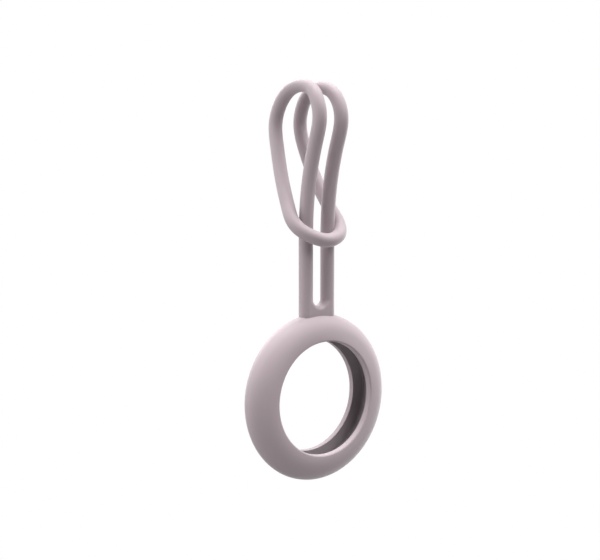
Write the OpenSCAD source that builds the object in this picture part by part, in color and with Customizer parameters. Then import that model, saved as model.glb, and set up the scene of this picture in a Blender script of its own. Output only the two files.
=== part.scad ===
// Tracker tag holder: a soft moulded ring that grips a coin-shaped tag by its edge, a short flat
// neck, and a closed strap loop. The loop is folded over whatever it hangs from and drawn round
// its own two legs, so it makes two crowns at the top and one band across the front.
// Every length of the moulding is a solid of its own, cut where it bends or slides.

/* [Tag seat] */
// Diameter of the groove that takes the edge of the tag
seat_d = 32; // [30:0.1:33]
// Width of the groove between the two lips
seat_w = 4.7; // [4.3:0.05:4.9]
// Radius in the bottom corners of the groove
seat_r = 0.3; // [0.2:0.05:0.8]
// Diameter of the window inside each lip
window_d = 25.9; // [25.2:0.1:26.3]

/* [Ring] */
// Outer diameter of the ring
ring_d = 38; // [37:0.1:40]
// Thickness of the ring at its lips, front to back
ring_t = 7.8; // [7.6:0.1:8.4]
// Rounding of the lips
lip_r = 0.37; // [0.25:0.01:0.6]

/* [Neck] */
// Width of the flat neck
neck_w = 9.32; // [9.1:0.02:9.6]
// Thickness of the flat neck
neck_t = 3.24; // [3.2:0.02:3.5]
// Rounding of the upright corners of the neck
neck_r = 1.5; // [0.8:0.1:1.5]
// Height of the top of the neck above the middle of the ring
neck_top = 22.25; // [21.9:0.05:22.5]
// Height of the round bottom of the slot above the middle of the ring
slot_z = 20.85; // [20.6:0.05:20.95]

/* [Strap] */
// Diameter of the two straight legs
leg_d = 3.18; // [3:0.02:3.2]
// Distance between the middles of the two legs
leg_pitch = 6.14; // [6.08:0.02:6.2]
// Height at which the legs end and the loops begin, above the middle of the ring
leg_top = 37; // [36.6:0.1:37]
// Diameter of the strand in the loops
loop_d = 3.16; // [3:0.02:3.2]
// Diameter of the strand at the top of the crowns, where it is stretched
crown_d = 2.9; // [2.8:0.02:3]
// Diameter of the strand in the band round the legs
band_d = 3; // [2.9:0.02:3.04]

/* [Finish] */
// Colour of the moulding
skin = "rosybrown"; // [rosybrown, thistle, lightgray]

/* [Hidden] */

// The model is drawn about the middle of the ring, then moved so that the origin is in the
// strap eye, where a bag strap or a key ring passes under the two crowns.
eye = [0, 3, 64];
gap = 0.05;          // between lengths that move against each other
sides = 16;          // of the swept strand
$fn = 96;

ring_r = ring_d / 2;
flank_c = 13.7;                   // the ring's outside is an ellipse about this radius
flank_a = ring_r - flank_c;
flank_b = ring_t / 2;
win_r = window_d / 2;
seat_rad = seat_d / 2;
half_seat = seat_w / 2;
leg_x = leg_pitch / 2;

// Middle line of the left half of the strap: up the leg, over the crown, down behind, and
// round the outside of the legs to the front. The right half is its mirror image.
left_route = [
    [-leg_x, 0, leg_top - 1], [-leg_x, 0, leg_top],
    [-3.07, -0.53, 44.85], [-3.05, -3.27, 56.5],
    [-3.05, -4.86, 62.2], [-2.95, -3.75, 66.3], [-2.7, -1.15, 68.95], [-2.8, 4.55, 69.8],
    [-3.1, 8.7, 67.45], [-3.5, 10.85, 62.65],
    [-3.95, 9.8, 57.2], [-4.95, 6.4, 49.05],
    [-6.05, 2.45, 42.4], [-6.42, 0.3, 39.65], [-5.87, -1.6, 37.95], [-3.9, -3.17, 36.6],
    [0, -3.85, 35.6]
];
last = len(left_route) - 1;
route = concat(left_route, [for (i = [last - 1 : -1 : 0]) [-left_route[i].x, left_route[i].y, left_route[i].z]]);
rise_from = 1;
crown_from = 4;
fall_from = 9;
wrap_from = 12;

// A smooth line through the route's points: each point's direction is that of the parabola
// through it and its two neighbours.
function span(p, i) = norm(p[i + 1] - p[i]);
function lean(p, i) =
    i == 0 ? (p[1] - p[0]) / span(p, 0) :
    i == len(p) - 1 ? (p[i] - p[i - 1]) / span(p, i - 1) :
    let (a = span(p, i - 1), b = span(p, i))
        ((p[i] - p[i - 1]) * b / a + (p[i + 1] - p[i]) * a / b) / (a + b);
function cell(p, u) = max(0, min(floor(u), len(p) - 2));
function along(p, u) =
    let (i = cell(p, u), t = u - i, d = span(p, i))
        p[i] * (2*t*t*t - 3*t*t + 1) + lean(p, i) * d * (t*t*t - 2*t*t + t)
        + p[i + 1] * (3*t*t - 2*t*t*t) + lean(p, i + 1) * d * (t*t*t - t*t);
function heading(p, u) =
    let (i = cell(p, u), t = u - i, d = span(p, i),
         v = p[i] * (6*t*t - 6*t) + lean(p, i) * d * (3*t*t - 4*t + 1)
             + p[i + 1] * (6*t - 6*t*t) + lean(p, i + 1) * d * (3*t*t - 2*t))
        v / norm(v);
function unit(v) = v / norm(v);

// A round strand swept along the route from u0 to u1, with n steps, of radius ends at both ends
// and middle half way. The flat of its ends is square to the route. ref is a direction that the
// route never follows.
module strand(u0, u1, n, ends, middle, ref) {
    rings = [for (k = [0 : n])
        let (u = u0 + (u1 - u0) * k / n, c = along(route, u), t = heading(route, u),
             a = unit(ref - t * (ref * t)), b = cross(t, a),
             r = ends + (middle - ends) * pow(sin(180 * k / n), 2))
            [for (s = [0 : sides - 1]) c + r * (a * cos(360 * s / sides) + b * sin(360 * s / sides))]];
    points = [for (q = rings) for (p = q) p];
    polyhedron(points, concat(
        [for (k = [0 : n - 1]) for (s = [0 : sides - 1])
            [k * sides + s, k * sides + (s + 1) % sides, (k + 1) * sides + (s + 1) % sides, (k + 1) * sides + s]],
        [[for (s = [sides - 1 : -1 : 0]) s]],
        [[for (s = [0 : sides - 1]) n * sides + s]]), convexity = 6);
}

// The ring's outside in (radius, depth): a point at an angle on its ellipse, the direction that
// it faces there, and a row of its points from one angle to another.
function flank_at(a) = [flank_c + flank_a * cos(a), flank_b * sin(a)];
function faces_to(a) = unit([cos(a) / flank_a, sin(a) / flank_b]);
function flank(a0, a1, n) = [for (k = [0 : n]) flank_at(a0 + (a1 - a0) * k / n)];

// Angle at which the lip's rounding leaves the outside, so that it also meets the window's wall.
function lip_from(lo = 60, hi = 140, n = 30) =
    let (m = (lo + hi) / 2)
        n == 0 ? m :
        (flank_at(m) - lip_r * faces_to(m)).x > win_r + lip_r ? lip_from(m, hi, n - 1) : lip_from(lo, m, n - 1);

// Turns a (radius, depth) outline about the ring's axis, which lies along Y.
module turned() {
    rotate([90, 0, 0]) rotate_extrude($fn = 180) children();
}

// The ring's whole outside, with no window and a hair larger, used to trim the foot of the neck.
module ring_blank() {
    turned() polygon(concat([[0, flank_at(-78).y]],
        [for (p = flank(-78, 78, 30)) [p.x + gap, p.y]], [[0, flank_at(78).y]]));
}

module lip_outline() {
    a = lip_from();
    c = flank_at(a) - lip_r * faces_to(a);
    a0 = atan2(faces_to(a).y, faces_to(a).x);
    round_edge = [for (k = [1 : 8]) let (q = a0 + (180 - a0) * k / 8) c + lip_r * [cos(q), sin(q)]];
    polygon(concat(flank(asin(half_seat / flank_b), a, 16), round_edge, [[win_r, half_seat]]));
}

module at_origin() {
    translate(-eye) children();
}

module ring_body() {
    color(skin) at_origin() turned() polygon(concat(
        flank(-asin(half_seat / flank_b), asin(half_seat / flank_b), 20),
        [for (k = [0 : 6]) [seat_rad - seat_r + seat_r * cos(90 - 15 * k), half_seat - seat_r + seat_r * sin(90 - 15 * k)]],
        [for (k = [0 : 6]) [seat_rad - seat_r + seat_r * cos(-15 * k), -half_seat + seat_r + seat_r * sin(-15 * k)]]));
}

module front_lip() {
    color(skin) at_origin() turned() lip_outline();
}

module back_lip() {
    color(skin) at_origin() mirror([0, 1, 0]) turned() lip_outline();
}

// Flat neck: a slab with rounded corners that stands on the ring, with the round bottom of
// the slot between the legs cut into its top.
module neck_tab() {
    foot = ring_r - 2;
    color(skin) at_origin() difference() {
        translate([0, 0, foot]) linear_extrude(neck_top - foot) {
            square([neck_w - 2 * neck_r, neck_t], center = true);
            square([neck_w, neck_t - 2 * neck_r], center = true);
            for (x = [-1, 1]) for (y = [-1, 1])
                translate([x * (neck_w / 2 - neck_r), y * (neck_t / 2 - neck_r)]) circle(neck_r, $fn = 48);
        }
        slot_r = leg_x - leg_d / 2;
        translate([0, 0, slot_z + slot_r]) {
            rotate([90, 0, 0]) cylinder(r = slot_r, h = neck_t + 2, center = true, $fn = 64);
            translate([0, 0, 5]) cube([2 * slot_r, neck_t + 2, 10], center = true);
        }
        ring_blank();
    }
}

module leg() {
    color(skin) at_origin() translate([-leg_x, 0, neck_top + gap])
        cylinder(d = leg_d, h = leg_top - neck_top - gap, $fn = 64);
}

module left_leg() { leg(); }
module right_leg() { mirror([1, 0, 0]) leg(); }

// Upward length from the leg to the crown, in front.
module rise() { color(skin) at_origin() strand(rise_from + 0.006, crown_from, 14, loop_d / 2, loop_d / 2, [1, 0, 0]); }
module left_rise() { rise(); }
module right_rise() { mirror([1, 0, 0]) rise(); }

// The bend over the bag strap or key ring.
module crown() { color(skin) at_origin() strand(crown_from, fall_from, 22, loop_d / 2, crown_d / 2, [1, 0, 0]); }
module left_crown() { crown(); }
module right_crown() { mirror([1, 0, 0]) crown(); }

// Downward length behind, from the crown to the band.
module fall() { color(skin) at_origin() strand(fall_from, wrap_from - 0.01, 12, loop_d / 2, loop_d / 2, [1, 0, 0]); }
module left_fall() { fall(); }
module right_fall() { mirror([1, 0, 0]) fall(); }

// Band that passes round the outside of both legs and across the front.
module hitch_wrap() {
    color(skin) at_origin() strand(wrap_from, 2 * last - wrap_from, 40, band_d / 2, band_d / 2, [0, 0.6, -0.8]);
}

ring_body();
front_lip();
back_lip();
neck_tab();
left_leg();
right_leg();
left_rise();
right_rise();
left_crown();
right_crown();
left_fall();
right_fall();
hitch_wrap();
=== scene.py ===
import math

import bmesh
import bpy
import numpy as np
from mathutils import Matrix, Vector


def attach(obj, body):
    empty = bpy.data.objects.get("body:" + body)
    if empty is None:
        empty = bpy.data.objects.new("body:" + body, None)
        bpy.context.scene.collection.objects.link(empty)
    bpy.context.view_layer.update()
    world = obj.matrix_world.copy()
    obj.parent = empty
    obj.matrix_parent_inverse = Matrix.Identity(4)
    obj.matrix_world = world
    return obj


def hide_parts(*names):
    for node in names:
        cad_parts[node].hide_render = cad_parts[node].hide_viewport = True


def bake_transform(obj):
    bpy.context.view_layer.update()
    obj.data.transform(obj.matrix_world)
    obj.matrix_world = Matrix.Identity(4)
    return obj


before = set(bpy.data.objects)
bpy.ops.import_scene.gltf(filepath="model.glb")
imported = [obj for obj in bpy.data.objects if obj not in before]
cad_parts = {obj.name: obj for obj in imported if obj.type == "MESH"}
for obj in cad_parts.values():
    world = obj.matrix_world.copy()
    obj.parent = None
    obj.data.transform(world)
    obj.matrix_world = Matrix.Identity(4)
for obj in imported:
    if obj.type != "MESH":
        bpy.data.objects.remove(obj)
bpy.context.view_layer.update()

# ---------------------------------------------------------------------------------------------
# Units. Shapes below are worked out about the middle of the ring, in parts of its diameter: the
# ring is 41 parts across and 38 mm across. They are moved into the row's frame (metres, origin in
# the strap eye) as they are written.
# ---------------------------------------------------------------------------------------------
PART = 38.0 / 41.0                      # millimetres in one part
EYE = np.array([0.0, 3.0, 64.0])        # the row's origin, in millimetres from the ring's middle


def to_row(points):
    return (np.asarray(points, float) * PART - EYE) / 1000.0


def from_row(points):
    return (np.asarray(points, float) * 1000.0 + EYE) / PART


def row_point(x, y, z):
    return tuple(to_row([x, y, z]))


# ---------------------------------------------------------------------------------------------
# Camera: the photograph's angle, about 4 degrees above the horizon and 37 degrees to the left.
# ---------------------------------------------------------------------------------------------
AZ, EL = math.radians(-37.05), math.radians(4.04)
FOCAL_PX, DIST, SIDE, RISE = 866.0, 212.9, 4.05, -28.57
back = np.array([math.sin(AZ) * math.cos(EL), -math.cos(AZ) * math.cos(EL), math.sin(EL)])
right = np.array([math.cos(AZ), math.sin(AZ), 0.0])
up = np.cross(back, right)
camera_at = to_row(-SIDE * right - RISE * up + DIST * back)

cam_data = bpy.data.cameras.new("camera")
cam = bpy.data.objects.new("camera", cam_data)
bpy.context.scene.collection.objects.link(cam)
cam_data.sensor_fit = "HORIZONTAL"
cam_data.sensor_width = 36.0
cam_data.lens = FOCAL_PX * 36.0 / 600.0
cam_data.clip_start, cam_data.clip_end = 0.01, 20.0
cam.matrix_world = Matrix([
    [right[0], up[0], back[0], camera_at[0]],
    [right[1], up[1], back[1], camera_at[1]],
    [right[2], up[2], back[2], camera_at[2]],
    [0, 0, 0, 1]])
bpy.context.scene.camera = cam

# ---------------------------------------------------------------------------------------------
# Mesh helpers
# ---------------------------------------------------------------------------------------------


def make_mesh(name, verts, faces, corner_normals, painted_shade_slots=None):
    """A closed mesh with its own exact shading normals, one for each corner of each face."""
    mesh = bpy.data.meshes.new(name)
    mesh.from_pydata([tuple(v) for v in to_row(verts)], [], faces)
    if painted_shade_slots is not None:
        mesh.polygons.foreach_set("material_index", painted_shade_slots)
    mesh.validate()
    mesh.polygons.foreach_set("use_smooth", [True] * len(mesh.polygons))
    mesh.normals_split_custom_set([tuple(n) for n in corner_normals])
    obj = bpy.data.objects.new(name, mesh)
    bpy.context.scene.collection.objects.link(obj)
    return obj


def unit(v):
    v = np.asarray(v, float)
    return v / np.linalg.norm(v, axis=-1, keepdims=True)


# ---------------------------------------------------------------------------------------------
# The strap's middle line, from the left leg over the left crown, round the legs, and back up
# over the right crown to the right leg.
# ---------------------------------------------------------------------------------------------
LEFT = np.array([
    [-3.31, 0, 24.0], [-3.31, 0, 30.0], [-3.31, 0, 35.0], [-3.31, 0, 38.6], [-3.31, -0.57, 48.37],
    [-3.29, -3.53, 60.95], [-3.29, -5.24, 67.12], [-3.19, -4.04, 71.55], [-2.92, -1.24, 74.40],
    [-3.03, 4.92, 75.32], [-3.37, 9.37, 72.80], [-3.78, 11.71, 67.62], [-4.25, 10.60, 61.73],
    [-5.35, 6.89, 52.90], [-6.51, 2.60, 45.77], [-6.85, 0.39, 42.86], [-6.09, -1.40, 40.95],
    [-4.10, -3.17, 39.41], [0, -4.06, 38.38]])
CROWN_FROM, CROWN_TO, FALL_TO = 6, 11, 14
MIRROR = np.array([-1.0, 1.0, 1.0])
ROUTE = np.vstack([LEFT, LEFT[-2::-1] * MIRROR])
chord = np.linalg.norm(np.diff(ROUTE, axis=0), axis=1)
KNOT = np.concatenate([[0], np.cumsum(chord ** 0.75)])


def spline_slopes(t, p, first, last):
    """Slopes of the cubic spline through p at t, with given slopes at both ends."""
    n = len(t)
    h = np.diff(t)
    a = np.zeros((n, n))
    b = np.zeros((n, p.shape[1]))
    a[0, 0] = a[-1, -1] = 1
    b[0], b[-1] = first, last
    for i in range(1, n - 1):
        a[i, i - 1], a[i, i], a[i, i + 1] = 1 / h[i - 1], 2 / h[i - 1] + 2 / h[i], 1 / h[i]
        b[i] = 3 * ((p[i] - p[i - 1]) / h[i - 1] ** 2 + (p[i + 1] - p[i]) / h[i] ** 2)
    return np.linalg.solve(a, b)


rate = chord[0] ** 0.25
SLOPE = spline_slopes(KNOT, ROUTE, np.array([0, 0, rate]), np.array([0, 0, -rate]))


def middle(u):
    """Point and direction of the middle line at parameter u."""
    u = np.atleast_1d(np.asarray(u, float))
    i = np.clip(np.searchsorted(KNOT, u, side="right") - 1, 0, len(KNOT) - 2)
    h = KNOT[i + 1] - KNOT[i]
    t = ((u - KNOT[i]) / h)[:, None]
    h = h[:, None]
    p0, p1, m0, m1 = ROUTE[i], ROUTE[i + 1], SLOPE[i], SLOPE[i + 1]
    c = (p0 * (2 * t**3 - 3 * t**2 + 1) + m0 * h * (t**3 - 2 * t**2 + t)
         + p1 * (3 * t**2 - 2 * t**3) + m1 * h * (t**3 - t**2))
    d = ((p0 - p1) * (6 * t**2 - 6 * t) / h + m0 * (3 * t**2 - 4 * t + 1) + m1 * (3 * t**2 - 2 * t))
    return c, unit(d)


# A fine walk along the left half, with the moulding's own frame carried along without twist:
# side 0 is the outer edge of the flat strap, where its parting line runs.
FINE = np.linspace(0, KNOT[len(LEFT) - 1], 6001)
fine_c, fine_t = middle(FINE)
fine_s = np.concatenate([[0], np.cumsum(np.linalg.norm(np.diff(fine_c, axis=0), axis=1))])
fine_a = np.zeros_like(fine_c)
side = np.array([-1.0, 0, 0])
for k in range(len(FINE)):
    side = unit(side - fine_t[k] * (side @ fine_t[k]))
    fine_a[k] = side
HALF_LENGTH = float(fine_s[-1])


def at_length(s):
    """Middle point, direction and parting-line side at length s along the left half."""
    u = np.interp(s, fine_s, FINE)
    c, t = middle(u)
    a = np.stack([np.interp(s, fine_s, fine_a[:, j]) for j in range(3)], -1)
    a = unit(a - t * (a * t).sum(-1, keepdims=True))
    return c, t, a


def length_at_knot(i):
    return float(np.interp(KNOT[i], FINE, fine_s))


def length_at_height(z):
    """Length at which the straight leg reaches height z."""
    n = np.argmax(fine_c[:, 2] >= z)
    return float(np.interp(z, fine_c[n - 1:n + 1, 2], fine_s[n - 1:n + 1]))


S_LEG_TOP = length_at_height(40.0)
S_CROWN, S_FALL, S_WRAP = length_at_knot(CROWN_FROM), length_at_knot(CROWN_TO), length_at_knot(FALL_TO)

# Radius of the strand along it: a little thinner where it is stretched over the crowns.
LEG_R = 1.72
RADIUS_AT = np.array([
    [0, LEG_R], [14, 1.730], [24, 1.735], [42, 1.740], [49, 1.680], [52, 1.600], [56, 1.560],
    [60, 1.630], [64, 1.700], [68, 1.720], [92, 1.705], [104, 1.675], [120, 1.675]])


def ease(x, a, b):
    t = np.clip((x - a) / (b - a), 0, 1)
    return t * t * (3 - 2 * t)


def strand_radius(s):
    r = np.full(np.shape(s), LEG_R)
    for (s0, r0), (s1, r1) in zip(RADIUS_AT[:-1], RADIUS_AT[1:]):
        r = r + (r1 - r0) * ease(s, s0, s1)
    return r


# Angles round the strand. The parting line stands 0.012 mm proud on both edges, so the steps
# are finer there.
def ring_angles():
    near = [0, 1.5, 3, 4.6, 6.5, 9.5]
    quarter = near + list(np.linspace(14.5, 90, 11))
    half = quarter + [180 - q for q in quarter[-2::-1]]
    full = half + [360 - q for q in half[-2:0:-1]]
    return np.radians(np.array(full))


ANG = ring_angles()
FLASH_H, FLASH_W = 0.012, math.radians(4.6)


def flash(theta):
    """Height of the parting line at angle theta, and its slope."""
    d = np.abs((theta + math.pi / 2) % math.pi - math.pi / 2)
    sign = np.sign((theta + math.pi / 2) % math.pi - math.pi / 2)
    q = np.clip(d / FLASH_W, 0, 1)
    return FLASH_H * (1 - q * q) ** 2, np.where(q < 1, -4 * FLASH_H * q * (1 - q * q) / FLASH_W, 0.0) * sign


def tube(name, s0, s1, step=0.26, mirrored=False, through=False):
    """A length of the strap as a closed mesh from length s0 to s1. through=True carries on past
    the middle of the band and up the mirrored half as far as its own s0, and flattens the band
    where it is pressed against the two legs."""
    if through:
        n = int(round(2 * (HALF_LENGTH - s0) / step))
        s = np.linspace(s0, 2 * HALF_LENGTH - s0, n + 1)
        far = s > HALF_LENGTH
        sl = np.where(far, 2 * HALF_LENGTH - s, s)
        c, t, a = at_length(sl)
        c[far] *= MIRROR
        t[far] *= -MIRROR
        a[far] *= MIRROR
        s = sl
    else:
        n = max(2, int(round((s1 - s0) / step)))
        s = np.linspace(s0, s1, n + 1)
        c, t, a = at_length(s)
    b = np.cross(t, a)
    h, dh = flash(ANG)
    rad = strand_radius(s)[:, None] + h[None, :]
    er = a[:, None, :] * np.cos(ANG)[None, :, None] + b[:, None, :] * np.sin(ANG)[None, :, None]
    et = -a[:, None, :] * np.sin(ANG)[None, :, None] + b[:, None, :] * np.cos(ANG)[None, :, None]
    pos = c[:, None, :] + rad[..., None] * er
    nor = unit(er - et * (dh[None, :] / rad)[..., None])
    m = len(ANG)
    verts = pos.reshape(-1, 3)
    vn = nor.reshape(-1, 3)
    if through:
        for x in (LEFT[0, 0], -LEFT[0, 0]):
            away = verts[:, :2] - np.array([x, 0.0])
            rho = np.linalg.norm(away, axis=1)
            pressed = rho < LEG_R + 0.03
            verts[pressed, :2] = np.array([x, 0.0]) + away[pressed] * ((LEG_R + 0.03) / rho[pressed])[:, None]
    faces, cn = [], []
    for k in range(n):
        for j in range(m):
            q = (k * m + j, k * m + (j + 1) % m, (k + 1) * m + (j + 1) % m, (k + 1) * m + j)
            faces.append(q)
    cn = vn[np.array(faces).reshape(-1)]
    # flat ends, of a centre point and triangles
    ends = [(0, -t[0], False), (n, t[-1], True)]
    extra_n = []
    for k, normal, forward in ends:
        centre = len(verts)
        verts = np.vstack([verts, c[k]])
        for j in range(m):
            v0, v1 = k * m + j, k * m + (j + 1) % m
            faces.append((centre, v0, v1) if forward else (centre, v1, v0))
            extra_n += [normal] * 3
    cn = np.vstack([cn, np.array(extra_n)])
    if mirrored:
        verts = verts * MIRROR
        flipped, fn = [], []
        at = 0
        for f in faces:
            flipped.append(tuple(reversed(f)))
            fn.append(cn[at:at + len(f)][::-1] * MIRROR)
            at += len(f)
        faces, cn = flipped, np.vstack(fn)
    return make_mesh(name, verts, faces, cn)


# ---------------------------------------------------------------------------------------------
# The ring: three closed turned pieces, each an outline in (radius, depth) made of smooth runs.
# ---------------------------------------------------------------------------------------------
FLANK_C, FLANK_A, FLANK_B = 13.7 / PART, 5.3 / PART, 3.9 / PART
WIN_R, SEAT_R, HALF_SEAT, CORNER_R = 12.95 / PART, 16.0 / PART, 2.35 / PART, 0.3 / PART
LIP_R = 0.37 / PART
EDGE_R = 0.12
TURNS = 360
DROOP, DROOP_AT = 0.19, 255.0
SWELL_R, SWELL, SWELL_AT = 15.5 / PART, 0.0476 * PART, 40.0


def flank(y0, y1, n):
    a = np.linspace(math.asin(y0 / FLANK_B), math.asin(y1 / FLANK_B), n + 1)
    p = np.stack([FLANK_C + FLANK_A * np.cos(a), FLANK_B * np.sin(a)], -1)
    m = unit(np.stack([np.cos(a) / FLANK_A, np.sin(a) / FLANK_B], -1))
    return p, m


def flank_with_flash(n):
    """The outside between the two lips, with the parting line standing proud at its middle."""
    a_end = math.asin(HALF_SEAT / FLANK_B)
    base = np.linspace(-a_end, a_end, n + 1)
    w = 0.13 / FLANK_B
    near = np.linspace(-w, w, 9)
    a = np.concatenate([base[base < -1.2 * w], near, base[base > 1.2 * w]])
    p = np.stack([FLANK_C + FLANK_A * np.cos(a), FLANK_B * np.sin(a)], -1)
    m = unit(np.stack([np.cos(a) / FLANK_A, np.sin(a) / FLANK_B], -1))
    q = np.clip(np.abs(a) / w, 0, 1)
    h = 0.014 * (1 - q * q) ** 2
    slope = np.where(q < 1, -4 * 0.014 * q * (1 - q * q) / (w * FLANK_B), 0.0) * np.sign(a)
    p[:, 0] += h
    m = unit(m - np.stack([np.zeros_like(slope), slope], -1))
    return p, m


def arc(cx, cy, r, a0, a1, n, inside=False):
    a = np.radians(np.linspace(a0, a1, n + 1))
    d = np.stack([np.cos(a), np.sin(a)], -1)
    return np.array([cx, cy]) + r * d, (-d if inside else d)


def line(p0, p1, normal, n=1):
    t = np.linspace(0, 1, n + 1)[:, None]
    p = np.array(p0) * (1 - t) + np.array(p1) * t
    return p, np.tile(np.array(normal, float), (n + 1, 1))


def turned(name, runs, flip_y=False, painted_shade_run=None, droop=0.0, fuller=None):
    """Turns a closed outline, a list of smooth runs of (points, normals), about the ring's axis.
    One run, given by the argument after flip_y, lies in the groove and takes the second material: painted shade, darker
    and greyer. droop is how far a soft lip stands in from round at the bottom of the window. fuller is the same outline
    with a prouder face, which the lip takes towards SWELL_AT."""
    ang = np.linspace(0, 2 * math.pi, TURNS, endpoint=False)
    ca, sa = np.cos(ang), np.sin(ang)
    fuller = runs if fuller is None else fuller
    full = np.clip(np.cos(ang - math.radians(SWELL_AT)), 0, 1)[:, None] ** 2
    pts, more, starts = [], [], []
    for (p, _), (q, _) in zip(runs, fuller):
        starts.append(len(pts))
        pts += list(p[:-1])
        more += list(q[:-1])
    total = len(pts)
    pts = np.array(pts)
    more = np.array(more) - pts
    sy = -1.0 if flip_y else 1.0
    fade = np.clip((pts[0, 0] - pts[:, 0]) / (pts[0, 0] - WIN_R), 0, 1)
    low = np.clip(np.cos(ang - math.radians(DROOP_AT)), 0, 1) ** 3
    radius = pts[:, :1] + more[:, :1] * full.T - droop * fade[:, None] * low[None]
    depth = sy * (pts[:, 1:] + more[:, 1:] * full.T)
    verts = np.stack([radius * ca[None], depth, radius * sa[None]], -1).reshape(-1, 3)

    def around(normal, other):
        """A normal of the outline at every angle."""
        n = unit(normal * (1 - full) + other * full)
        return np.stack([n[:, 0] * ca, sy * n[:, 1], n[:, 0] * sa], -1)

    faces, cn, painted_shade_slots = [], [], []
    nxt = (np.arange(TURNS) + 1) % TURNS
    for r, ((p, m), (_, o), first) in enumerate(zip(runs, fuller, starts)):
        # faces of the groove's run take the second material, painted shade
        painted_shade_slots += [1 if r == painted_shade_run else 0] * ((len(p) - 1) * TURNS)
        for j in range(len(p) - 1):
            i0 = first + j
            i1 = (first + j + 1) % total
            n0, n1 = around(m[j], o[j]), around(m[j + 1], o[j + 1])
            for k in range(TURNS):
                a, b = i0 * TURNS + k, i0 * TURNS + nxt[k]
                c, d = i1 * TURNS + nxt[k], i1 * TURNS + k
                if flip_y:
                    faces.append((a, b, c, d))
                    cn += [n0[k], n0[nxt[k]], n1[nxt[k]], n1[k]]
                else:
                    faces.append((a, d, c, b))
                    cn += [n0[k], n1[k], n1[nxt[k]], n0[nxt[k]]]
    return make_mesh(name, verts, [tuple(int(x) for x in f) for f in faces], np.array(cn), painted_shade_slots)


def lip_runs(swell=0.0):
    """The lip behind, for y > 0: over the flank from the seam, round the lip's edge, down the
    land and back along the groove's wall to the seam. swell makes its face stand prouder
    towards the window."""
    join_r = FLANK_C + FLANK_A * math.cos(math.asin(HALF_SEAT / FLANK_B))

    def face(angle):
        c, s = np.cos(angle), np.sin(angle)
        r = FLANK_C + FLANK_A * c
        inside = np.maximum(SWELL_R - r, 0)
        at = np.stack([r, FLANK_B * s + swell * inside ** 2], -1)
        return at, unit(np.stack([FLANK_B * c + 2 * swell * inside * FLANK_A * s, FLANK_A * s], -1))

    def edge_centre(angle):
        at, normal = face(angle)
        return at - LIP_R * normal, normal

    lo, hi = math.radians(50), math.radians(150)
    for _ in range(50):                       # where the edge's rounding touches the land too
        mid = (lo + hi) / 2
        if edge_centre(mid)[0][0] - WIN_R > LIP_R:
            lo = mid
        else:
            hi = mid
    top = lo
    centre, top_n = edge_centre(top)
    a0 = math.asin(HALF_SEAT / FLANK_B)
    f_p, f_m = face(np.linspace(a0, top, 30))
    r_p, r_m = arc(centre[0], centre[1], LIP_R, math.degrees(math.atan2(top_n[1], top_n[0])), 180, 16)
    e_p, e_m = arc(WIN_R + EDGE_R, HALF_SEAT + EDGE_R, EDGE_R, 180, 270, 6)
    land_p, land_m = line(tuple(r_p[-1]), tuple(e_p[0]), (-1, 0), 5)
    outer_p = np.vstack([f_p, r_p[1:], land_p[1:], e_p[1:]])
    outer_m = np.vstack([f_m, r_m[1:], land_m[1:], e_m[1:]])
    wall_p, wall_m = line((WIN_R + EDGE_R, HALF_SEAT), (join_r, HALF_SEAT), (0, -1), 6)
    return [(outer_p, outer_m), (wall_p, wall_m)]


def body_runs():
    out_p, out_m = flank_with_flash(34)
    join = out_p[-1]
    c = SEAT_R - CORNER_R
    seam_b = line(tuple(join), (c, HALF_SEAT), (0, 1), 3)
    top_p, top_m = arc(c, HALF_SEAT - CORNER_R, CORNER_R, 90, 0, 10, inside=True)
    floor_p, floor_m = line((SEAT_R, HALF_SEAT - CORNER_R), (SEAT_R, -HALF_SEAT + CORNER_R), (-1, 0), 6)
    low_p, low_m = arc(c, -HALF_SEAT + CORNER_R, CORNER_R, 0, -90, 10, inside=True)
    seat_p = np.vstack([top_p, floor_p[1:], low_p[1:]])
    seat_m = np.vstack([top_m, floor_m[1:], low_m[1:]])
    seam_f = line((c, -HALF_SEAT), tuple(out_p[0]), (0, -1), 3)
    return [(out_p, out_m), seam_b, (seat_p, seat_m), seam_f]


# In each ring piece the run lying in the groove takes the painted-shade material.
ring_body = turned("ring_body_silicone", body_runs(), painted_shade_run=2)
back_lip = turned("back_lip_silicone", lip_runs(), painted_shade_run=1)
front_lip = turned("front_lip_silicone", lip_runs(), flip_y=True, painted_shade_run=1, droop=DROOP,
                   fuller=lip_runs(SWELL))

# ---------------------------------------------------------------------------------------------
# The neck: a level-set solid. Its outline in X and Z is the slab with the slot in it, and its
# depth rounds off towards that outline, so the legs come out of it round, and the bottom of the
# slot rolls over more tightly than they do.
# ---------------------------------------------------------------------------------------------
NECK_HALF, NECK_DEPTH, NECK_EDGE = 5.03, 1.75, 1.70
SLOT_R = 3.31 - LEG_R
SLOT_Z, SADDLE_R = 22.47, 1.15
NECK_TOP = 24.0
RING_SKIN = 0.30


def round_over(s, r):
    q = np.clip(1 - s / r, 0, 1)
    return np.sqrt(np.clip(1 - q * q, 0, None))


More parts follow.
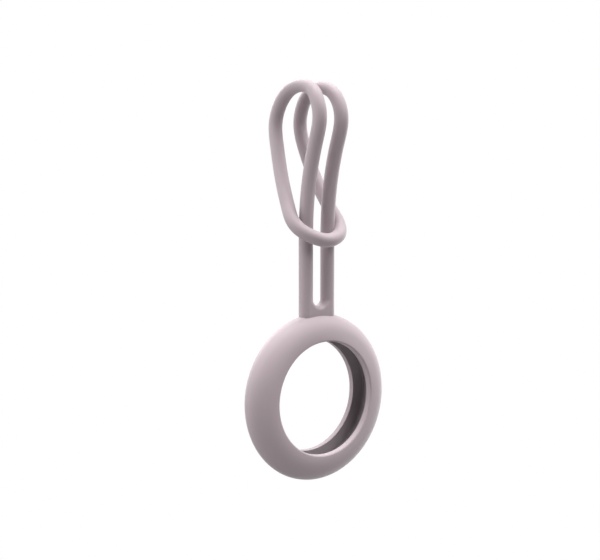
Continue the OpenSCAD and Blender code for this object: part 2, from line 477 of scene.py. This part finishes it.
def neck_value(p):
    """Negative inside the neck. Distances are in millimetres, nearly true close to the surface."""
    x, y, z = p[..., 0], p[..., 1], p[..., 2]
    # inside distance from the outer sides and from the slot
    so = NECK_HALF - np.abs(x)
    dz = z - (SLOT_Z + SLOT_R)
    ss = np.where(dz > 0, np.abs(x), np.hypot(x, dz)) - SLOT_R
    rise = ease(z, 20.6, 23.4)
    r_out = NECK_EDGE + (LEG_R - NECK_EDGE) * rise
    depth = NECK_DEPTH + (LEG_R - NECK_DEPTH) * rise
    r_in = SADDLE_R + (LEG_R - SADDLE_R) * ease(z, SLOT_Z - 0.2, NECK_TOP - 0.1)
    # superellipse-like join of the two round-overs
    qo = np.clip(1 - so / r_out, 0, None)
    qs = np.clip(1 - ss / r_in, 0, None)
    q = np.sqrt(qo * qo + qs * qs + (np.abs(y) / depth) ** 2)
    side_v = (q - 1) * np.minimum(r_out, r_in)
    # foot: follows the ring, a little under its skin
    rho = np.hypot(x, z)
    yy = np.clip(np.abs(y) / FLANK_B, 0, 0.999)
    skin = FLANK_C + FLANK_A * np.sqrt(1 - yy * yy) - RING_SKIN
    foot = skin - rho
    return 0.5 * (side_v + foot + np.sqrt((side_v - foot) ** 2 + 0.15 ** 2))


def neck_gradient(p, e=1e-4):
    g = np.zeros_like(p)
    for j in range(3):
        d = np.zeros(3)
        d[j] = e
        g[..., j] = (neck_value(p + d) - neck_value(p - d)) / (2 * e)
    return g


def surface_net(value, lo, hi, h):
    """A closed quad mesh of value = 0, by naive surface nets, then moved on to the surface."""
    lo, hi = np.array(lo, float), np.array(hi, float)
    n = np.ceil((hi - lo) / h).astype(int) + 1
    axes = [lo[j] + h * np.arange(n[j]) for j in range(3)]
    g = np.stack(np.meshgrid(*axes, indexing="ij"), -1)
    v = value(g)
    inside = v < 0
    acc = np.zeros(tuple(n - 1) + (3,))
    cnt = np.zeros(tuple(n - 1))
    for ax in range(3):
        a = [slice(None)] * 3
        b = [slice(None)] * 3
        a[ax], b[ax] = slice(0, -1), slice(1, None)
        va, vb = v[tuple(a)], v[tuple(b)]
        cross_ = inside[tuple(a)] != inside[tuple(b)]
        t = np.where(cross_, va / np.where(cross_, va - vb, 1), 0)
        pa = g[tuple(a)]
        pt = pa.copy()
        pt[..., ax] += t * h
        o1, o2 = [k for k in range(3) if k != ax]
        for d1 in (0, 1):
            for d2 in (0, 1):
                src = [slice(None)] * 3
                src[o1] = slice(d1, d1 + n[o1] - 1)
                src[o2] = slice(d2, d2 + n[o2] - 1)
                m = cross_[tuple(src)]
                acc += np.where(m[..., None], pt[tuple(src)], 0)
                cnt += m
    active = cnt > 0
    index = -np.ones(active.shape, int)
    index[active] = np.arange(active.sum())
    verts = acc[active] / cnt[active][:, None]
    faces = []
    for ax in range(3):
        o1, o2 = [(1, 2), (2, 0), (0, 1)][ax]
        a = [slice(None)] * 3
        b = [slice(None)] * 3
        a[ax], b[ax] = slice(0, -1), slice(1, None)
        ia, ib = inside[tuple(a)], inside[tuple(b)]
        cr = np.argwhere(ia != ib)
        for c in cr:
            c = tuple(int(q) for q in c)
            if min(c[o1], c[o2]) < 1 or c[o1] > active.shape[o1] - 1 or c[o2] > active.shape[o2] - 1:
                continue
            quad = []
            for d1, d2 in ((-1, -1), (0, -1), (0, 0), (-1, 0)):
                cell = list(c)
                cell[o1] += d1
                cell[o2] += d2
                quad.append(int(index[tuple(cell)]))
            if not ia[c]:
                quad.reverse()
            faces.append(tuple(quad))
    return verts, faces


def build_neck():
    verts, faces = surface_net(neck_value, (-5.3, -2.15, 18.7), (5.3, 2.15, 24.9), 0.125)
    # spread the points evenly, then put them on the surface again
    nb_sum = np.zeros_like(verts)
    nb_cnt = np.zeros(len(verts))
    f = np.array(faces)
    ring = [(0, 1), (1, 2), (2, 3), (3, 0)]
    for _ in range(6):
        nb_sum[:] = 0
        nb_cnt[:] = 0
        for a, b in ring:
            np.add.at(nb_sum, f[:, a], verts[f[:, b]])
            np.add.at(nb_cnt, f[:, a], 1)
            np.add.at(nb_sum, f[:, b], verts[f[:, a]])
            np.add.at(nb_cnt, f[:, b], 1)
        verts = verts + 0.5 * (nb_sum / nb_cnt[:, None] - verts)
        for _again in range(2):
            g = neck_gradient(verts)
            gg = (g * g).sum(-1, keepdims=True)
            verts = verts - g * (neck_value(verts)[:, None] / np.maximum(gg, 0.04))
    mesh = bpy.data.meshes.new("neck_tab_silicone")
    mesh.from_pydata([tuple(v) for v in to_row(verts)], [], faces)
    mesh.validate()
    bm = bmesh.new()
    bm.from_mesh(mesh)
    cut = row_point(0, 0, NECK_TOP)
    made = bmesh.ops.bisect_plane(bm, geom=bm.verts[:] + bm.edges[:] + bm.faces[:], dist=1e-7,
                                  plane_co=cut, plane_no=(0, 0, 1), clear_outer=True)
    edges = [e for e in made["geom_cut"] if isinstance(e, bmesh.types.BMEdge)]
    bmesh.ops.holes_fill(bm, edges=edges, sides=0)
    caps = [fc for fc in bm.faces if len(fc.verts) > 8]
    bmesh.ops.recalc_face_normals(bm, faces=bm.faces[:])
    bmesh.ops.poke(bm, faces=caps)
    bm.normal_update()
    bm.to_mesh(mesh)
    bm.free()
    co = from_row([v.co for v in mesh.vertices])
    g = unit(neck_gradient(co))
    loops = np.array([l.vertex_index for l in mesh.loops])
    n = g[loops]
    for poly in mesh.polygons:
        if poly.normal.z > 0.999 and abs(from_row(poly.center)[2] - NECK_TOP) < 1e-3:
            for li in poly.loop_indices:
                n[li] = (0, 0, 1)
    mesh.polygons.foreach_set("use_smooth", [True] * len(mesh.polygons))
    mesh.normals_split_custom_set([tuple(x) for x in n])
    obj = bpy.data.objects.new("neck_tab_silicone", mesh)
    bpy.context.scene.collection.objects.link(obj)
    return obj


neck = build_neck()

# ---------------------------------------------------------------------------------------------
# The strap's lengths
# ---------------------------------------------------------------------------------------------
left_leg = tube("left_leg_silicone", 0.0, S_LEG_TOP)
right_leg = tube("right_leg_silicone", 0.0, S_LEG_TOP, mirrored=True)
left_rise = tube("left_rise_silicone", S_LEG_TOP, S_CROWN)
right_rise = tube("right_rise_silicone", S_LEG_TOP, S_CROWN, mirrored=True)
left_crown = tube("left_crown_silicone", S_CROWN, S_FALL)
right_crown = tube("right_crown_silicone", S_CROWN, S_FALL, mirrored=True)
left_fall = tube("left_fall_silicone", S_FALL, S_WRAP)
right_fall = tube("right_fall_silicone", S_FALL, S_WRAP, mirrored=True)
wrap = tube("hitch_wrap_silicone", S_WRAP, None, through=True)

# ---------------------------------------------------------------------------------------------
# Material: matte moulded silicone. Colour drifts a little through the mass, the skin carries
# the mould's fine spark-eroded grain, and its dryness varies. The groove is painted darker and greyer: painted shade.
# ---------------------------------------------------------------------------------------------


def silicone(name, low, high, fleck):
    mat = bpy.data.materials.new(name)
    mat.use_nodes = True
    nt = mat.node_tree
    nt.nodes.clear()
    out = nt.nodes.new("ShaderNodeOutputMaterial")
    bsdf = nt.nodes.new("ShaderNodeBsdfPrincipled")
    nt.links.new(bsdf.outputs["BSDF"], out.inputs["Surface"])
    coord = nt.nodes.new("ShaderNodeTexCoord")

    def noise(scale, detail, rough):
        n = nt.nodes.new("ShaderNodeTexNoise")
        n.inputs["Scale"].default_value = scale
        n.inputs["Detail"].default_value = detail
        n.inputs["Roughness"].default_value = rough
        nt.links.new(coord.outputs["Object"], n.inputs["Vector"])
        return n

    drift = noise(95.0, 3.0, 0.55)
    speck = noise(5200.0, 2.0, 0.6)
    mix1 = nt.nodes.new("ShaderNodeMix")
    mix1.data_type = "RGBA"
    mix1.inputs["A"].default_value = (*low, 1)
    mix1.inputs["B"].default_value = (*high, 1)
    nt.links.new(drift.outputs["Fac"], mix1.inputs["Factor"])
    ramp = nt.nodes.new("ShaderNodeMapRange")
    ramp.inputs["From Min"].default_value = 0.62
    ramp.inputs["From Max"].default_value = 0.80
    ramp.inputs["To Min"].default_value = 0.0
    ramp.inputs["To Max"].default_value = 0.22
    nt.links.new(speck.outputs["Fac"], ramp.inputs["Value"])
    mix2 = nt.nodes.new("ShaderNodeMix")
    mix2.data_type = "RGBA"
    mix2.inputs["B"].default_value = (*fleck, 1)
    nt.links.new(mix1.outputs["Result"], mix2.inputs["A"])
    nt.links.new(ramp.outputs["Result"], mix2.inputs["Factor"])
    nt.links.new(mix2.outputs["Result"], bsdf.inputs["Base Color"])

    dry = noise(700.0, 4.0, 0.6)
    rough = nt.nodes.new("ShaderNodeMapRange")
    rough.inputs["From Min"].default_value = 0.3
    rough.inputs["From Max"].default_value = 0.7
    rough.inputs["To Min"].default_value = 0.45
    rough.inputs["To Max"].default_value = 0.55
    nt.links.new(dry.outputs["Fac"], rough.inputs["Value"])
    nt.links.new(rough.outputs["Result"], bsdf.inputs["Roughness"])

    grain = noise(9000.0, 3.0, 0.65)
    bump = nt.nodes.new("ShaderNodeBump")
    bump.inputs["Strength"].default_value = 0.18
    bump.inputs["Distance"].default_value = 0.00002
    nt.links.new(grain.outputs["Fac"], bump.inputs["Height"])
    nt.links.new(bump.outputs["Normal"], bsdf.inputs["Normal"])
    bsdf.inputs["IOR"].default_value = 1.41
    bsdf.inputs["Sheen Weight"].default_value = 0.3
    bsdf.inputs["Sheen Roughness"].default_value = 0.4
    return mat


MAT = silicone("matte_silicone", (0.408, 0.338, 0.361), (0.434, 0.362, 0.385), (0.48, 0.42, 0.44))
# The groove's material is the same silicone painted darker and greyer: painted shade in the recess, deeper than the
# light alone leaves it.
PAINTED_SHADE_MAT = silicone("groove_painted_shade", (0.294, 0.261, 0.270), (0.318, 0.280, 0.290), (0.355, 0.315, 0.325))
PIECES = [
    (ring_body, "ring_body"), (front_lip, "front_lip"), (back_lip, "back_lip"), (neck, "neck_tab"),
    (left_leg, "left_leg"), (right_leg, "right_leg"), (left_rise, "left_rise"),
    (right_rise, "right_rise"), (left_crown, "left_crown"), (right_crown, "right_crown"),
    (left_fall, "left_fall"), (right_fall, "right_fall"), (wrap, "hitch_wrap")]
for piece, node in PIECES:
    piece.data.materials.append(MAT)
    # The ring's three pieces also take the groove's painted-shade material as their second slot.
    if node in ("ring_body", "front_lip", "back_lip"):
        piece.data.materials.append(PAINTED_SHADE_MAT)
    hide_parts(node)

# ---------------------------------------------------------------------------------------------
# What each piece moves with
# ---------------------------------------------------------------------------------------------
for piece in (ring_body, front_lip, back_lip):
    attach(piece, "holder")
for piece in (left_crown, right_crown):
    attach(piece, "eye")
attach(wrap, "hitch")
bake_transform(neck)
for piece in (left_leg, right_leg):
    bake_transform(piece)
for piece in (left_rise, right_rise):
    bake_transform(piece)
for piece in (left_fall, right_fall):
    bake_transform(piece)

# ---------------------------------------------------------------------------------------------
# Studio: a plain white sweep that only the camera sees, and soft light from all round.
# ---------------------------------------------------------------------------------------------


def paper():
    mat = bpy.data.materials.new("studio_paper")
    mat.use_nodes = True
    nt = mat.node_tree
    nt.nodes.clear()
    out = nt.nodes.new("ShaderNodeOutputMaterial")
    em = nt.nodes.new("ShaderNodeEmission")
    em.inputs["Color"].default_value = (1, 1, 1, 1)
    em.inputs["Strength"].default_value = 1.0
    nt.links.new(em.outputs["Emission"], out.inputs["Surface"])
    return mat


def stage_mesh(name, verts, faces, mat):
    mesh = bpy.data.meshes.new(name)
    mesh.from_pydata(verts, [], faces)
    mesh.materials.append(mat)
    obj = bpy.data.objects.new(name, mesh)
    bpy.context.scene.collection.objects.link(obj)
    obj.visible_diffuse = obj.visible_glossy = obj.visible_transmission = False
    obj.visible_volume_scatter = obj.visible_shadow = False
    return obj


white = paper()
FLOOR_Z, SWEEP_R = -0.150, 3.0
n = 96
circle = [(SWEEP_R * math.cos(2 * math.pi * k / n), SWEEP_R * math.sin(2 * math.pi * k / n), FLOOR_Z) for k in range(n)]
stage_mesh("studio_floor", circle, [tuple(range(n))], white)
rows = 24
dome_v = [(SWEEP_R * math.cos(2 * math.pi * k / n) * math.cos(a), SWEEP_R * math.sin(2 * math.pi * k / n) * math.cos(a),
           FLOOR_Z + SWEEP_R * math.sin(a)) for a in np.linspace(0, math.pi / 2 - 0.02, rows) for k in range(n)]
dome_f = [(r * n + k, r * n + (k + 1) % n, (r + 1) * n + (k + 1) % n, (r + 1) * n + k) for r in range(rows - 1) for k in range(n)]
dome_f.append(tuple((rows - 1) * n + k for k in range(n)))
stage_mesh("studio_backdrop", dome_v, dome_f, white)

# Soft lights, each a broad glow about one direction: (name, direction, strength, tightness)
LIGHTS = [
    ("overhead_softbox", (0.05, -0.12, 0.99), 14.6, 40.0),
    ("overhead_back", (0.05, 0.35, 0.94), 3.00, 40.0),
    ("overhead_left", (-0.45, -0.05, 0.89), 5.90, 40.0),
    ("front_high", (0.18, -0.75, 0.64), 5.70, 40.0),
    ("right_high", (0.53, -0.23, 0.82), 4.35, 11.0),
    ("back_high", (0.06, 0.84, 0.53), 4.05, 11.0),
    ("back_left_low", (-0.84, 0.53, -0.12), 2.70, 11.0),
    ("right_side", (1.00, -0.04, 0.01), 2.25, 11.0),
    ("table_bounce", (-0.27, -0.51, -0.82), 2.20, 11.0),
    ("left_high", (-0.84, 0.14, 0.52), 1.80, 11.0),
    ("right_low", (0.71, 0.37, -0.60), 1.65, 11.0),
    ("white_backdrop", (0.59, 0.79, 0.14), 1.00, 11.0),
]


def soft_world(lights):
    world = bpy.data.worlds.new("soft_studio")
    bpy.context.scene.world = world
    world.use_nodes = True
    nt = world.node_tree
    nt.nodes.clear()
    out = nt.nodes.new("ShaderNodeOutputWorld")
    bg = nt.nodes.new("ShaderNodeBackground")
    nt.links.new(bg.outputs["Background"], out.inputs["Surface"])
    coord = nt.nodes.new("ShaderNodeTexCoord")
    total = None
    for name, direction, strength, k in lights:
        d = Vector(direction).normalized()
        dot = nt.nodes.new("ShaderNodeVectorMath")
        dot.operation = "DOT_PRODUCT"
        nt.links.new(coord.outputs["Generated"], dot.inputs[0])
        dot.inputs[1].default_value = d
        dot.label = name
        sub = nt.nodes.new("ShaderNodeMath")
        sub.operation = "MULTIPLY_ADD"
        nt.links.new(dot.outputs["Value"], sub.inputs[0])
        sub.inputs[1].default_value = k
        sub.inputs[2].default_value = -k
        ex = nt.nodes.new("ShaderNodeMath")
        ex.operation = "EXPONENT"
        nt.links.new(sub.outputs[0], ex.inputs[0])
        mul = nt.nodes.new("ShaderNodeMath")
        mul.operation = "MULTIPLY"
        nt.links.new(ex.outputs[0], mul.inputs[0])
        mul.inputs[1].default_value = strength
        if total is None:
            total = mul.outputs[0]
        else:
            add = nt.nodes.new("ShaderNodeMath")
            add.operation = "ADD"
            nt.links.new(total, add.inputs[0])
            nt.links.new(mul.outputs[0], add.inputs[1])
            total = add.outputs[0]
    bg.inputs["Color"].default_value = (1, 1, 1, 1)
    nt.links.new(total, bg.inputs["Strength"])
    world.cycles.sampling_method = "MANUAL"
    world.cycles.sample_map_resolution = 256
    return world


soft_world(LIGHTS)
view_settings = bpy.context.scene.view_settings
view_settings.view_transform = "Standard"
view_settings.look = "None"
view_settings.exposure = 0.0
view_settings.gamma = 1.0
